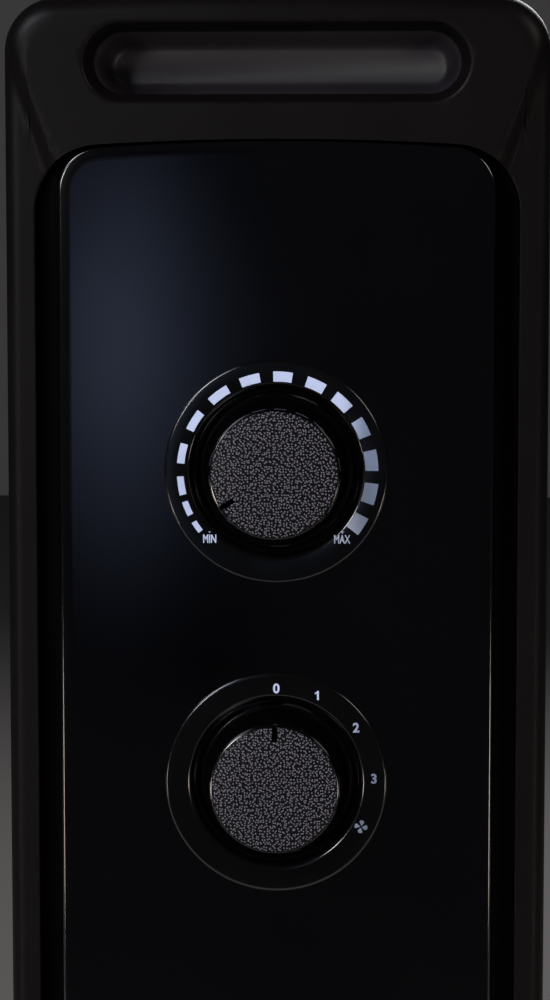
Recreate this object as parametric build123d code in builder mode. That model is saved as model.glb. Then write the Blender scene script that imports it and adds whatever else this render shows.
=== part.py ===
from build123d import *
import math
import os

os.makedirs("parts", exist_ok=True)

# Castors, from the floor up
wheel_radius = 20.0
wheel_width = 16.0
wheel_clearance = 1.5
wheel_side_clearance = 0.6
castor_trail = 14.0
castor_inset = 20.0
fork_wall = 3.4
fork_bridge = 3.5
fork_nose = 10.0
fork_tail = 22.0
fork_toe_half_width = 7.0
fork_toe_drop = 7.0
axle_radius = 3.0
pintle_radius = 5.0
pintle_shoulder = 8.5
pintle_proud = 2.0
shoulder_half_width = 9.0
swivel_gap = 0.3
running_clearance = 0.05

# Wheel plates and the clamps that hold them to the fins
plate_sheet = 2.0
plate_length = 240.0
plate_width = 70.0
plate_corner = 14.0
plate_skirt = 6.0
front_plate_number = 2
rear_plate_number = 7
clamp_sheet = 2.5
clamp_width = 12.0
clamp_foot = 15.0
clamp_clearance = 0.4

# Pressed steel fins
fin_count = 9
fin_pitch = 36.0
fin_width = 150.0
fin_height = 574.0
fin_sheet = 1.2
fin_corner = 24.0
flange_depth = 26.0
flange_fold = 3.0
flange_setback = 34.0
flute_count = 3
flute_width = 14.0
flute_spacing = 36.0
flute_point = 9.0
flute_height = 3.5
flute_taper = 35.0
flute_end_gap = 5.0
collar_inset = 52.0
collar_base_radius = 27.0
collar_land_radius = 24.0
collar_sides = 14
oil_bore_radius = 15.0
oil_bore_sides = 8

# Immersion element in the bottom oil gallery
element_flange_radius = 26.0
element_flange_thickness = 6.0
element_hole_clearance = 2.0
element_end_gap = 12.0
element_rod_radius = 4.0
element_rod_sides = 8
element_leg_spacing = 14.0
terminal_length = 10.0
terminal_width = 6.0
terminal_sheet = 1.5

# Control head
head_width = 160.0
head_above_base = 14.0
head_above_fins = 10.0
head_corner = 16.0
head_crown = 2.5
head_depth = 88.0
head_wall = 2.5
head_seam = 46.0
front_edge_bevel = 4.0
head_stand_off = 6.0
shield_sheet = 1.0
shield_margin = 3.0

# Header above the gloss panel, with the carrying slot
header_rise = 3.0
header_taper = 45.0
header_margin = 4.5
header_corner = 11.0
header_outer_drop = 25.0
header_inner_drop = 51.5
header_inner_half_width = 66.0
slot_width = 112.0
slot_height = 22.6
slot_drop = 20.8
slot_mouth_depth = 5.0
slot_mouth_taper = 24.0
cup_depth = 21.0
cup_wall = 2.0

# Gloss control panel and the groove round it
panel_width = 128.0
panel_height = 290.0
panel_drop = 43.5
panel_corner = 12.5
panel_crown = 2.9
panel_thickness = 2.5
panel_hairline = 0.4
panel_edge = 0.6
groove_width = 7.0
groove_depth = 6.5

# Dials and knobs
thermostat_drop = 96.7
dial_spacing = 92.6
well_mouth_radius = 25.6
well_throat_radius = 24.4
well_wall_radius = 23.6
knob_skirt_radius = 20.6
knob_face_radius = 18.8
knob_proud = 12.0
knob_sides = 48
knob_skirt_depth = 5.3
notch_width = 1.5
notch_length = 4.8
notch_depth = 0.8
notch_margin = 0.5
thermostat_rest = -122.0
selector_rest = 0.0
spindle_radius = 3.0
spindle_in_knob = 11.0
spindle_end_gap = 0.3
spindle_in_body = 8.0

# Control bracket, thermostat and switch
bracket_depth = 22.0
bracket_sheet = 1.2
bracket_width = 84.0
bracket_above_thermostat = 36.0
bracket_below_switch = 36.0
bracket_foot = 9.0
spindle_clearance = 0.8
thermostat_side = 38.0
thermostat_thickness = 24.0
switch_side = 34.0
switch_thickness = 20.0

# Fan booster behind the air outlet
outlet_width = 112.0
outlet_height = 104.0
outlet_corner = 6.0
outlet_drop = 430.0
grille_flange = 3.5
grille_flange_thickness = 2.0
grille_clearance = 0.3
grille_rim = 3.0
grille_depth = 11.0
louvre_count = 10
louvre_thickness = 1.6
louvre_tilt = 32.0
rib_thickness = 2.0
duct_wall = 1.6
duct_margin = 6.0
duct_length = 44.0
bell_depth = 27.0
bell_radius = 43.5
motor_bridge = 22.0
blade_count = 5
blade_radius = 41.5
blade_thickness = 1.6
blade_pitch = 38.0
blade_chord = 20.0
hub_radius = 11.0
hub_sides = 20
hub_length = 12.0
fan_start = 37.0
fan_spindle_radius = 2.5
motor_width = 50.0
motor_height = 42.0
motor_thickness = 14.0
coil_width = 26.0
coil_height = 20.0
coil_proud = 6.0
mica_depth = 10.0
mica_sheet = 1.2
mica_start = 16.0
mica_side_gap = 0.3
wire_rows = 6
wire_thickness = 1.2
inlet_count = 7
inlet_pitch = 10.0
inlet_height = 4.0
inlet_length = 26.0

# Safety devices, terminals and cord inlet
tilt_width = 24.0
tilt_depth = 18.0
tilt_height = 26.0
tilt_offset = 42.0
cutout_radius = 9.0
cutout_thickness = 6.0
cutout_drop = 110.0
cutout_offset = 40.0
block_width = 44.0
block_depth = 14.0
block_height = 18.0
block_drop = 300.0
gland_offset = -42.0
gland_inset = 21.0
gland_radius = 7.0
gland_flange_radius = 10.0
gland_sides = 6
gland_flange = 3.0
gland_nut = 5.0
flex_radius = 3.6
hole_clearance = 0.2

# Places worked out from the sizes above
castor_spacing = plate_length - 2 * castor_inset
fork_top = 2 * wheel_radius + wheel_clearance + fork_bridge
plate_underside = fork_top + pintle_shoulder + swivel_gap
fin_bottom = plate_underside + plate_sheet
fin_top = fin_bottom + fin_height
fin_middle = fin_bottom + fin_height / 2
bottom_collar = fin_bottom + collar_inset
top_collar = fin_top - collar_inset
head_top = fin_top + head_above_fins
head_bottom = fin_bottom + head_above_base
head_middle = (head_top + head_bottom) / 2
panel_top = head_top - panel_drop
panel_bottom = panel_top - panel_height
thermostat_height = panel_top - thermostat_drop
selector_height = thermostat_height - dial_spacing
slot_middle = head_top - slot_drop
outlet_middle = head_top - outlet_drop

# Depths behind the face of the gloss panel
first_fin_depth = head_depth + shield_sheet + head_stand_off
tray_back = panel_thickness + head_wall
cavity_depth = groove_depth + head_wall
bracket_back = bracket_depth + bracket_sheet
last_depth = first_fin_depth + (fin_count - 1) * fin_pitch + flange_depth
face_y = knob_proud - (knob_proud + last_depth) / 2


# A plane facing the user, at a depth behind the gloss panel
def facing(depth):
    return Plane(origin=(0, face_y + depth, 0), x_dir=(1, 0, 0), z_dir=(0, -1, 0))


# The same plane seen from behind
def backing(depth):
    return Plane(origin=(0, face_y + depth, 0), x_dir=(-1, 0, 0), z_dir=(0, 1, 0))


def fin_depth(number):
    return first_fin_depth + (number - 1) * fin_pitch


def write(piece, label):
    piece.part.label = label
    export_step(piece.part, f"parts/{label}.step")


# An upright rectangle with rounded corners and an arched top edge
def arched_outline(width, bottom, top, rise, radius):
    with BuildSketch(mode=Mode.PRIVATE) as outline:
        with BuildLine():
            Polyline((width / 2, top - rise), (width / 2, bottom),
                     (-width / 2, bottom), (-width / 2, top - rise))
            ThreePointArc((-width / 2, top - rise), (0, top), (width / 2, top - rise))
        make_face()
        fillet(outline.vertices(), radius)
    return outline.sketch


def head_outline(inset):
    return arched_outline(head_width - 2 * inset, head_bottom + inset, head_top - inset, head_crown,
                          head_corner - inset)


def panel_outline(grow, grow_top):
    return arched_outline(panel_width + 2 * grow, panel_bottom - grow, panel_top + grow_top, panel_crown,
                          panel_corner + grow)


# Half section of a cone about an axis along the heater, from one depth to another
def cone_section(height, start, start_radius, end, end_radius):
    with BuildSketch(Plane.YZ, mode=Mode.PRIVATE) as section:
        with BuildLine():
            Polyline((face_y + start, height), (face_y + start, height + start_radius),
                     (face_y + end, height + end_radius), (face_y + end, height), close=True)
        make_face()
    return section.sketch


def dial_axis(height):
    return Axis((0, 0, height), (0, 1, 0))


# One pressed fin: web, folded edges, flutes and the collars that weld to the next fin
def make_fin(number):
    depth = fin_depth(number)
    rear = depth + fin_sheet
    half = (fin_width - fin_sheet) / 2
    web_y = face_y + depth + fin_sheet / 2
    edge_y = face_y + depth + flange_depth
    flute_end = (top_collar - bottom_collar) / 2 - collar_base_radius - flute_end_gap
    collar_length = fin_pitch - fin_sheet
    collar_lean = math.degrees(math.atan((collar_base_radius - collar_land_radius) / collar_length))
    with BuildPart() as fin:
        with BuildSketch(facing(depth)):
            with Locations((0, fin_middle)):
                web = Rectangle(fin_width - 2 * flange_fold, fin_height)
            chamfer(web.vertices(), fin_corner)
        extrude(amount=-fin_sheet)
        with BuildSketch(Plane.XY.offset(fin_bottom + flange_setback)):
            with BuildLine():
                Polyline((-half, edge_y), (-half, web_y + flange_fold), (flange_fold - half, web_y),
                         (half - flange_fold, web_y), (half, web_y + flange_fold), (half, edge_y))
            trace(line_width=fin_sheet)
        extrude(amount=fin_height - 2 * flange_setback)
        for plane in (facing(depth), backing(rear)):
            with BuildSketch(plane):
                with Locations((0, fin_middle)):
                    with GridLocations(flute_spacing, 0, flute_count, 1):
                        Polygon((-flute_width / 2, flute_point - flute_end), (0, -flute_end),
                                (flute_width / 2, flute_point - flute_end),
                                (flute_width / 2, flute_end - flute_point), (0, flute_end),
                                (-flute_width / 2, flute_end - flute_point), align=None)
            extrude(amount=flute_height, taper=flute_taper)
        if number < fin_count:
            with BuildSketch(backing(rear)):
                with Locations((0, bottom_collar), (0, top_collar)):
                    RegularPolygon(collar_base_radius, collar_sides)
            extrude(amount=collar_length, taper=collar_lean)
        if number == 1:
            with BuildSketch(facing(depth)):
                with Locations((0, bottom_collar), (0, top_collar)):
                    RegularPolygon(collar_land_radius, collar_sides)
            extrude(amount=head_stand_off)
        if number < fin_count:
            with BuildSketch(facing(depth - head_stand_off)):
                with Locations((0, bottom_collar)):
                    RegularPolygon(oil_bore_radius, oil_bore_sides)
            extrude(amount=-(fin_pitch + head_stand_off), mode=Mode.SUBTRACT)
    return fin


for number in range(1, fin_count + 1):
    write(make_fin(number), f"fin_{number:02d}")


# Hairpin element screwed into the first fin, with its terminals in the head
def make_immersion_element():
    seat = first_fin_depth - head_stand_off
    legs = (bottom_collar - element_leg_spacing / 2, bottom_collar + element_leg_spacing / 2)
    start_y = face_y + seat - element_flange_thickness / 2
    end_y = face_y + fin_depth(fin_count) - element_end_gap
    with BuildPart() as element:
        with BuildSketch(facing(seat)):
            with Locations((0, bottom_collar)):
                Circle(element_flange_radius)
        extrude(amount=element_flange_thickness)
        with BuildLine() as hairpin:
            Polyline((0, start_y, legs[0]), (0, end_y, legs[0]), (0, end_y, legs[1]), (0, start_y, legs[1]))
        with BuildSketch(Plane(origin=hairpin.line @ 0, z_dir=hairpin.line % 0)):
            RegularPolygon(element_rod_radius, element_rod_sides)
        sweep(path=hairpin.line, transition=Transition.RIGHT)
        with BuildSketch(facing(seat - element_flange_thickness)):
            with Locations(*[(0, height) for height in legs]):
                Rectangle(terminal_width, terminal_sheet)
        extrude(amount=terminal_length)
    return element


write(make_immersion_element(), "immersion_element")


# Depth of the middle of the gap behind a fin
def gap_middle(number):
    return fin_depth(number) + (fin_pitch + fin_sheet) / 2


# Pressed tray under the fins that carries two castors
def make_wheel_plate(number):
    middle = face_y + gap_middle(number)
    with BuildPart() as plate:
        with BuildSketch(Plane.XY.offset(plate_underside - plate_skirt)):
            with Locations((0, middle)):
                outer = Rectangle(plate_length, plate_width)
            chamfer(outer.vertices(), plate_corner)
        extrude(amount=plate_skirt + plate_sheet)
        with BuildSketch(Plane.XY.offset(plate_underside)):
            with Locations((0, middle)):
                inner = Rectangle(plate_length - 2 * plate_sheet, plate_width - 2 * plate_sheet)
            chamfer(inner.vertices(), plate_corner - plate_sheet / 2)
        extrude(amount=-plate_skirt, mode=Mode.SUBTRACT)
        with BuildSketch(Plane.XY.offset(plate_underside)):
            with Locations((0, middle)):
                with GridLocations(castor_spacing, 0, 2, 1):
                    Circle(pintle_radius + running_clearance)
        extrude(amount=plate_sheet, mode=Mode.SUBTRACT)
    return plate


# Saddle strap over the bottom collar, with a foot each side
def make_clamp(number):
    inner = collar_base_radius + clamp_clearance
    outer = inner + clamp_sheet
    foot_end = outer + clamp_foot
    foot_top = fin_bottom + clamp_sheet
    with BuildPart() as clamp:
        with BuildSketch(facing(gap_middle(number) - clamp_width / 2)):
            with BuildLine():
                Polyline((-outer, bottom_collar), (-outer, foot_top), (-foot_end, foot_top),
                         (-foot_end, fin_bottom), (-inner, fin_bottom), (-inner, bottom_collar))
                ThreePointArc((-inner, bottom_collar), (0, bottom_collar + inner), (inner, bottom_collar))
                Polyline((inner, bottom_collar), (inner, fin_bottom), (foot_end, fin_bottom),
                         (foot_end, foot_top), (outer, foot_top), (outer, bottom_collar))
                ThreePointArc((outer, bottom_collar), (0, bottom_collar + outer), (-outer, bottom_collar))
            make_face()
        extrude(amount=-clamp_width)
    return clamp


plate_numbers = {"front": front_plate_number, "rear": rear_plate_number}
for end, number in plate_numbers.items():
    write(make_wheel_plate(number), f"{end}_wheel_plate")
    write(make_clamp(number), f"{end}_clamp_strap")


castors = {"fl": (-1, "front"), "fr": (1, "front"), "rl": (-1, "rear"), "rr": (1, "rear")}
fork_slot = wheel_width + 2 * wheel_side_clearance
fork_width = fork_slot + 2 * fork_wall


def castor_place(side, end):
    return side * castor_spacing / 2, face_y + gap_middle(plate_numbers[end])


# Swivelling fork: two arms with the axle between them, and a pintle that turns in the plate
def make_fork(x, y):
    arm_top = fork_top - fork_bridge
    with BuildPart() as fork:
        with BuildSketch(Plane.YZ.offset(x - fork_width / 2)):
            with BuildLine():
                Polyline((y - fork_nose, fork_top), (y - fork_nose, arm_top),
                         (y + castor_trail - fork_toe_half_width, wheel_radius - fork_toe_drop),
                         (y + castor_trail + fork_toe_half_width, wheel_radius - fork_toe_drop),
                         (y + fork_tail, arm_top), (y + fork_tail, fork_top), close=True)
            make_face()
        extrude(amount=fork_width)
        with BuildSketch(Plane.XY.offset(arm_top)):
            with Locations((x, y + castor_trail)):
                Rectangle(fork_slot, 4 * wheel_radius)
        extrude(amount=-2 * wheel_radius, mode=Mode.SUBTRACT)
        with BuildSketch(Plane.XY.offset(fork_top)):
            with Locations((x, y)):
                Rectangle(2 * shoulder_half_width, 2 * shoulder_half_width)
        extrude(amount=pintle_shoulder)
        with BuildSketch(Plane.XY.offset(fork_top + pintle_shoulder)):
            with Locations((x, y)):
                Circle(pintle_radius)
        extrude(amount=swivel_gap + plate_sheet + pintle_proud)
        with BuildSketch(Plane.YZ.offset(x - fork_slot / 2)):
            with Locations((y + castor_trail, wheel_radius)):
                Circle(axle_radius)
        extrude(amount=fork_slot)
    return fork


def make_wheel(x, y):
    with BuildPart() as wheel:
        with BuildSketch(Plane.YZ.offset(x - wheel_width / 2)):
            with Locations((y + castor_trail, wheel_radius)):
                Circle(wheel_radius)
                Circle(axle_radius + running_clearance, mode=Mode.SUBTRACT)
        extrude(amount=wheel_width)
    return wheel


for corner, (side, end) in castors.items():
    place = castor_place(side, end)
    write(make_fork(*place), f"castor_fork_{corner}")
    write(make_wheel(*place), f"castor_wheel_{corner}")


dials = (("thermostat", thermostat_height, thermostat_rest), ("selector", selector_height, selector_rest))
dial_places = [(0, height) for _, height, _ in dials]
gland_place = (gland_offset, face_y + head_depth - gland_inset)
slot_inner_drop = slot_mouth_depth * math.tan(math.radians(slot_mouth_taper))
slot_inner_width = slot_width - 2 * slot_inner_drop
slot_inner_height = slot_height - 2 * slot_inner_drop


# Moulded front cover: raised header, side borders, groove, panel tray and openings
def make_front_cover():
    with BuildPart() as cover:
        with BuildSketch(facing(header_rise)):
            add(head_outline(0))
        extrude(amount=header_rise - head_seam)
        chamfer(cover.faces().sort_by(Axis.Y)[0].edges(), front_edge_bevel)
        with BuildSketch(facing(header_rise)):
            with BuildLine():
                side = head_width / 2 - header_margin
                top = head_top - head_crown - header_margin
                Polyline((-side, head_top - header_outer_drop), (-side, top - header_corner),
                         (header_corner - side, top), (side - header_corner, top), (side, top - header_corner),
                         (side, head_top - header_outer_drop),
                         (header_inner_half_width, head_top - header_inner_drop),
                         (-header_inner_half_width, head_top - header_inner_drop), close=True)
            make_face()
        extrude(amount=header_rise, taper=header_taper)
        with BuildSketch(facing(0)):
            add(panel_outline(groove_width, panel_hairline))
            add(panel_outline(0, 0), mode=Mode.SUBTRACT)
        extrude(amount=-groove_depth, mode=Mode.SUBTRACT)
        with BuildSketch(facing(0)):
            add(panel_outline(0, 0))
        extrude(amount=-panel_thickness, mode=Mode.SUBTRACT)
        with BuildSketch(facing(cavity_depth)):
            add(head_outline(head_wall))
        extrude(amount=cavity_depth - head_seam, mode=Mode.SUBTRACT)
        with BuildSketch(facing(tray_back)):
            with Locations((0, (panel_top + panel_bottom) / 2)):
                Rectangle(panel_width - 2 * panel_corner, panel_height - 2 * panel_corner)
        extrude(amount=tray_back - cavity_depth, mode=Mode.SUBTRACT)
        with BuildSketch(facing(panel_thickness)):
            with Locations(*dial_places):
                Circle(well_wall_radius)
        extrude(amount=panel_thickness - tray_back, mode=Mode.SUBTRACT)
        with BuildSketch(facing(0)):
            with Locations((0, slot_middle)):
                SlotOverall(slot_width, slot_height)
        extrude(amount=-slot_mouth_depth, taper=slot_mouth_taper, mode=Mode.SUBTRACT)
        with BuildSketch(facing(slot_mouth_depth)):
            with Locations((0, slot_middle)):
                SlotOverall(slot_inner_width, slot_inner_height)
        extrude(amount=slot_mouth_depth - cavity_depth, mode=Mode.SUBTRACT)
        with BuildSketch(facing(0)):
            with Locations((0, outlet_middle)):
                outlet = Rectangle(outlet_width, outlet_height)
            chamfer(outlet.vertices(), outlet_corner)
        extrude(amount=-cavity_depth, mode=Mode.SUBTRACT)
    return cover


write(make_front_cover(), "front_cover")


# Gloss panel with a well for each dial
def make_control_panel():
    with BuildPart() as panel:
        with BuildSketch(facing(0)):
            add(panel_outline(0, 0))
        extrude(amount=-panel_thickness)
        chamfer(panel.faces().sort_by(Axis.Y)[0].edges(), panel_edge)
        for _, height in dial_places:
            well = cone_section(height, 0, well_mouth_radius, panel_thickness, well_throat_radius)
            revolve(well, axis=dial_axis(height), mode=Mode.SUBTRACT)
    return panel


write(make_control_panel(), "control_panel")


# Tapered knob with a pointer notch in the rim of its face
def make_knob(height, rest_angle):
    knob_length = knob_skirt_depth + knob_proud
    knob_lean = math.degrees(math.atan((knob_skirt_radius - knob_face_radius) / knob_length))
    with BuildPart() as knob:
        with BuildSketch(facing(knob_skirt_depth)):
            with Locations((0, height)):
                RegularPolygon(knob_skirt_radius, knob_sides)
        extrude(amount=knob_length, taper=knob_lean)
        with BuildSketch(facing(knob_skirt_depth)):
            with Locations((0, height)):
                Circle(spindle_radius + running_clearance)
        extrude(amount=spindle_in_knob, mode=Mode.SUBTRACT)
        with BuildSketch(facing(-knob_proud)):
            with Locations(Location((0, height), -rest_angle)):
                with Locations((0, knob_face_radius - notch_margin - notch_length / 2)):
                    Rectangle(notch_width, notch_length)
        extrude(amount=-notch_depth, mode=Mode.SUBTRACT)
    return knob


# Spindle from the thermostat or switch to its knob
def make_spindle(height):
    tip = knob_skirt_depth - spindle_in_knob + spindle_end_gap
    with BuildPart() as spindle:
        with BuildSketch(facing(tip)):
            with Locations((0, height)):
                Circle(spindle_radius)
        extrude(amount=tip - bracket_back - spindle_in_body)
    return spindle


for dial, height, rest_angle in dials:
    write(make_knob(height, rest_angle), f"{dial}_knob")
    write(make_spindle(height), f"{dial}_spindle")


# Pocket behind the carrying slot
def make_handle_cup():
    with BuildPart() as cup:
        with BuildSketch(facing(cavity_depth)):
            with Locations((0, slot_middle)):
                SlotOverall(slot_inner_width + 2 * cup_wall, slot_inner_height + 2 * cup_wall)
        extrude(amount=-cup_depth - cup_wall)
        with BuildSketch(facing(cavity_depth)):
            with Locations((0, slot_middle)):
                SlotOverall(slot_inner_width, slot_inner_height)
        extrude(amount=-cup_depth, mode=Mode.SUBTRACT)
    return cup


write(make_handle_cup(), "handle_cup")


# Louvred outlet of the fan booster
def make_outlet_grille():
    front = header_rise - grille_flange_thickness
    fit_width = outlet_width - 2 * grille_clearance
    fit_height = outlet_height - 2 * grille_clearance
    open_width = fit_width - 2 * grille_rim
    open_height = fit_height - 2 * grille_rim
    louvre_pitch = open_height / louvre_count
    louvre_reach = grille_depth * math.tan(math.radians(louvre_tilt))
    with BuildPart() as grille:
        with BuildSketch(facing(front)):
            with Locations((0, outlet_middle)):
                rim = Rectangle(outlet_width + 2 * grille_flange, outlet_height + 2 * grille_flange)
            chamfer(rim.vertices(), outlet_corner + grille_flange / 2)
        extrude(amount=-grille_flange_thickness)
        with BuildSketch(facing(front)):
            with Locations((0, outlet_middle)):
                body = Rectangle(fit_width, fit_height)
            chamfer(body.vertices(), outlet_corner)
        extrude(amount=-grille_depth)
        with BuildSketch(facing(front)):
            with Locations((0, outlet_middle)):
                mouth = Rectangle(open_width, open_height)
            chamfer(mouth.vertices(), outlet_corner - grille_rim / 2)
        extrude(amount=-grille_depth, mode=Mode.SUBTRACT)
        with BuildSketch(Plane.YZ.offset(-open_width / 2)):
            for row in range(1, louvre_count):
                low = outlet_middle - open_height / 2 + row * louvre_pitch
                with BuildLine():
                    Polyline((face_y + front, low), (face_y + front + grille_depth, low + louvre_reach),
                             (face_y + front + grille_depth, low + louvre_reach - louvre_thickness),
                             (face_y + front, low - louvre_thickness), close=True)
                make_face()
        extrude(amount=open_width)
        with BuildSketch(facing(front)):
            with Locations((0, outlet_middle)):
                Rectangle(rib_thickness, open_height)
        extrude(amount=-grille_depth)
    return grille


write(make_outlet_grille(), "outlet_grille")


# Rear half of the head, with side inlets for the fan
def make_rear_housing():
    with BuildPart() as housing:
        with BuildSketch(facing(head_seam)):
            add(head_outline(0))
        extrude(amount=head_seam - head_depth)
        with BuildSketch(facing(head_seam)):
            add(head_outline(head_wall))
        extrude(amount=head_seam - head_depth + head_wall, mode=Mode.SUBTRACT)
        with BuildSketch(facing(head_depth)):
            with Locations((0, bottom_collar)):
                Circle(element_flange_radius + element_hole_clearance)
        extrude(amount=head_wall, mode=Mode.SUBTRACT)
        with BuildSketch(Plane.YZ.offset(-head_width / 2)):
            with Locations((face_y + (head_seam + head_depth) / 2, outlet_middle)):
                with GridLocations(0, inlet_pitch, 1, inlet_count):
                    Rectangle(inlet_length, inlet_height)
        extrude(amount=head_width, mode=Mode.SUBTRACT)
        with BuildSketch(Plane.XY.offset(head_bottom)):
            with Locations(gland_place):
                Circle(gland_radius + hole_clearance)
        extrude(amount=head_wall, mode=Mode.SUBTRACT)
    return housing


write(make_rear_housing(), "rear_housing")


# Steel sheet between the head and the hot first fin
def make_heat_shield():
    with BuildPart() as shield:
        with BuildSketch(facing(head_depth)):
            with Locations((0, head_middle)):
                sheet = Rectangle(head_width - 2 * shield_margin, head_top - head_bottom - 2 * shield_margin)
            chamfer(sheet.vertices(), head_corner)
            with Locations((0, bottom_collar)):
                Circle(element_flange_radius + element_hole_clearance, mode=Mode.SUBTRACT)
        extrude(amount=-shield_sheet)
    return shield


write(make_heat_shield(), "heat_shield")


# Hat-shaped steel bracket that holds the thermostat and switch behind the panel tray
def make_control_bracket():
    low = selector_height - bracket_below_switch
    tall = thermostat_height + bracket_above_thermostat - low
    with BuildPart() as bracket:
        with BuildSketch(Plane.XY.offset(low)):
            with BuildLine():
                front_y = face_y + tray_back + bracket_sheet / 2
                back_y = face_y + bracket_depth + bracket_sheet / 2
                half = (bracket_width - bracket_sheet) / 2
                Polyline((-half - bracket_foot, front_y), (-half, front_y), (-half, back_y), (half, back_y),
                         (half, front_y), (half + bracket_foot, front_y))
            trace(line_width=bracket_sheet)
        extrude(amount=tall)
        with BuildSketch(facing(bracket_depth)):
            with Locations(*dial_places):
                Circle(spindle_radius + spindle_clearance)
        extrude(amount=-bracket_sheet, mode=Mode.SUBTRACT)
    return bracket


write(make_control_bracket(), "control_bracket")


# Thermostat or switch body, bored for its spindle
def make_control_body(height, side, thickness):
    with BuildPart() as body:
        with BuildSketch(facing(bracket_back)):
            with Locations((0, height)):
                Rectangle(side, side)
                Circle(spindle_radius + running_clearance, mode=Mode.SUBTRACT)
        extrude(amount=-spindle_in_body - spindle_end_gap)
        with BuildSketch(facing(bracket_back + spindle_in_body + spindle_end_gap)):
            with Locations((0, height)):
                Rectangle(side, side)
        extrude(amount=spindle_in_body + spindle_end_gap - thickness)
    return body


write(make_control_body(thermostat_height, thermostat_side, thermostat_thickness), "thermostat_body")
write(make_control_body(selector_height, switch_side, switch_thickness), "selector_switch")


# Square duct with a round bell mouth, and the bridge that holds the motor
def make_fan_duct():
    width = outlet_width + 2 * duct_margin
    tall = outlet_height + 2 * duct_margin
    with BuildPart() as duct:
        with BuildSketch(facing(cavity_depth)):
            with Locations((0, outlet_middle)):
                Rectangle(width, tall)
        extrude(amount=-duct_length)
        with BuildSketch(facing(cavity_depth)):
            with Locations((0, outlet_middle)):
                Rectangle(width - 2 * duct_wall, tall - 2 * duct_wall)
        extrude(amount=-bell_depth, mode=Mode.SUBTRACT)
        with BuildSketch(facing(cavity_depth + bell_depth + duct_wall)):
            with Locations((0, outlet_middle)):
                Rectangle(width - 2 * duct_wall, tall - 2 * duct_wall)
                Rectangle(width, motor_bridge, mode=Mode.SUBTRACT)
        extrude(amount=bell_depth + duct_wall - duct_length, mode=Mode.SUBTRACT)
        with BuildSketch(facing(cavity_depth + bell_depth + duct_wall)):
            with Locations((0, outlet_middle)):
                Rectangle(width - 2 * duct_wall, motor_bridge)
        extrude(amount=bell_depth + 2 * duct_wall - duct_length, mode=Mode.SUBTRACT)
        with BuildSketch(facing(cavity_depth + bell_depth)):
            with Locations((0, outlet_middle)):
                Circle(bell_radius)
        extrude(amount=-duct_wall, mode=Mode.SUBTRACT)
        with BuildSketch(facing(cavity_depth + duct_length)):
            with Locations((0, outlet_middle)):
                Circle(fan_spindle_radius + spindle_clearance)
        extrude(amount=duct_wall, mode=Mode.SUBTRACT)
    return duct


write(make_fan_duct(), "fan_duct")


# Shaded-pole motor on the bridge: laminations, coil and a blind bearing for the fan spindle
def make_fan_motor():
    start = cavity_depth + duct_length
    with BuildPart() as motor:
        with BuildSketch(facing(start)):
            with Locations((0, outlet_middle)):
                Rectangle(motor_width, motor_height)
                Circle(fan_spindle_radius + running_clearance, mode=Mode.SUBTRACT)
        extrude(amount=-motor_thickness)
        with BuildSketch(facing(start + motor_thickness)):
            with Locations((0, outlet_middle)):
                Rectangle(coil_width, coil_height)
        extrude(amount=-coil_proud)
    return motor


write(make_fan_motor(), "fan_motor")


# Five-bladed fan with its spindle
def make_fan_impeller():
    spindle_end = cavity_depth + duct_length + motor_thickness - spindle_end_gap
    hub_back = fan_start + hub_length
    with BuildPart() as fan:
        with BuildSketch(facing(fan_start)):
            with Locations((0, outlet_middle)):
                RegularPolygon(hub_radius, hub_sides)
        extrude(amount=-hub_length)
        with BuildSketch(facing(hub_back)):
            with Locations((0, outlet_middle)):
                Circle(fan_spindle_radius)
        extrude(amount=hub_back - spindle_end)
        for blade in range(blade_count):
            turn = math.radians(blade * 360 / blade_count)
            pitch = math.radians(blade_pitch)
            out = Vector(math.sin(turn), 0, math.cos(turn))
            chord = Vector(math.cos(turn) * math.cos(pitch), math.sin(pitch), -math.sin(turn) * math.cos(pitch))
            middle = Vector(0, face_y + fan_start + hub_length / 2, outlet_middle)
            with BuildSketch(Plane(origin=middle + out * hub_radius / 2, x_dir=chord, z_dir=out)):
                Rectangle(blade_chord, blade_thickness)
            extrude(amount=blade_radius - hub_radius / 2)
    return fan


write(make_fan_impeller(), "fan_impeller")


# Mica frame with the rows of heating ribbon of the fan booster
def make_booster_element():
    width = outlet_width + 2 * duct_margin - 2 * duct_wall - 2 * mica_side_gap
    tall = outlet_height + 2 * duct_margin - 2 * duct_wall - 2 * mica_side_gap
    with BuildPart() as booster:
        with BuildSketch(facing(mica_start)):
            with Locations((0, outlet_middle)):
                Rectangle(width, tall)
                Rectangle(width - 2 * mica_sheet, tall - 2 * mica_sheet, mode=Mode.SUBTRACT)
                Rectangle(mica_sheet, tall)
        extrude(amount=-mica_depth)
        with BuildSketch(facing(mica_start + mica_depth / 2)):
            with Locations((0, outlet_middle)):
                with GridLocations(0, tall / wire_rows, 1, wire_rows):
                    Rectangle(width, wire_thickness)
        extrude(amount=-wire_thickness)
    return booster


write(make_booster_element(), "booster_element")


# Tip-over switch standing on the floor of the head
def make_tilt_switch():
    with BuildPart() as tilt:
        with BuildSketch(Plane.XY.offset(head_bottom + head_wall)):
            with Locations((tilt_offset, face_y + head_depth - gland_inset)):
                Rectangle(tilt_width, tilt_depth)
        extrude(amount=tilt_height)
    return tilt


write(make_tilt_switch(), "tilt_switch")


# Disc thermostat that cuts the power if the column overheats
def make_thermal_cutout():
    with BuildPart() as cutout:
        with BuildSketch(facing(head_depth - head_wall)):
            with Locations((cutout_offset, head_top - cutout_drop)):
                Circle(cutout_radius)
        extrude(amount=cutout_thickness)
    return cutout


write(make_thermal_cutout(), "thermal_cutout")


# Terminal block on the back wall of the head
def make_terminal_block():
    with BuildPart() as block:
        with BuildSketch(facing(head_depth - head_wall)):
            with Locations((0, head_top - block_drop)):
                Rectangle(block_width, block_height)
        extrude(amount=block_depth)
    return block


write(make_terminal_block(), "terminal_block")


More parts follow.
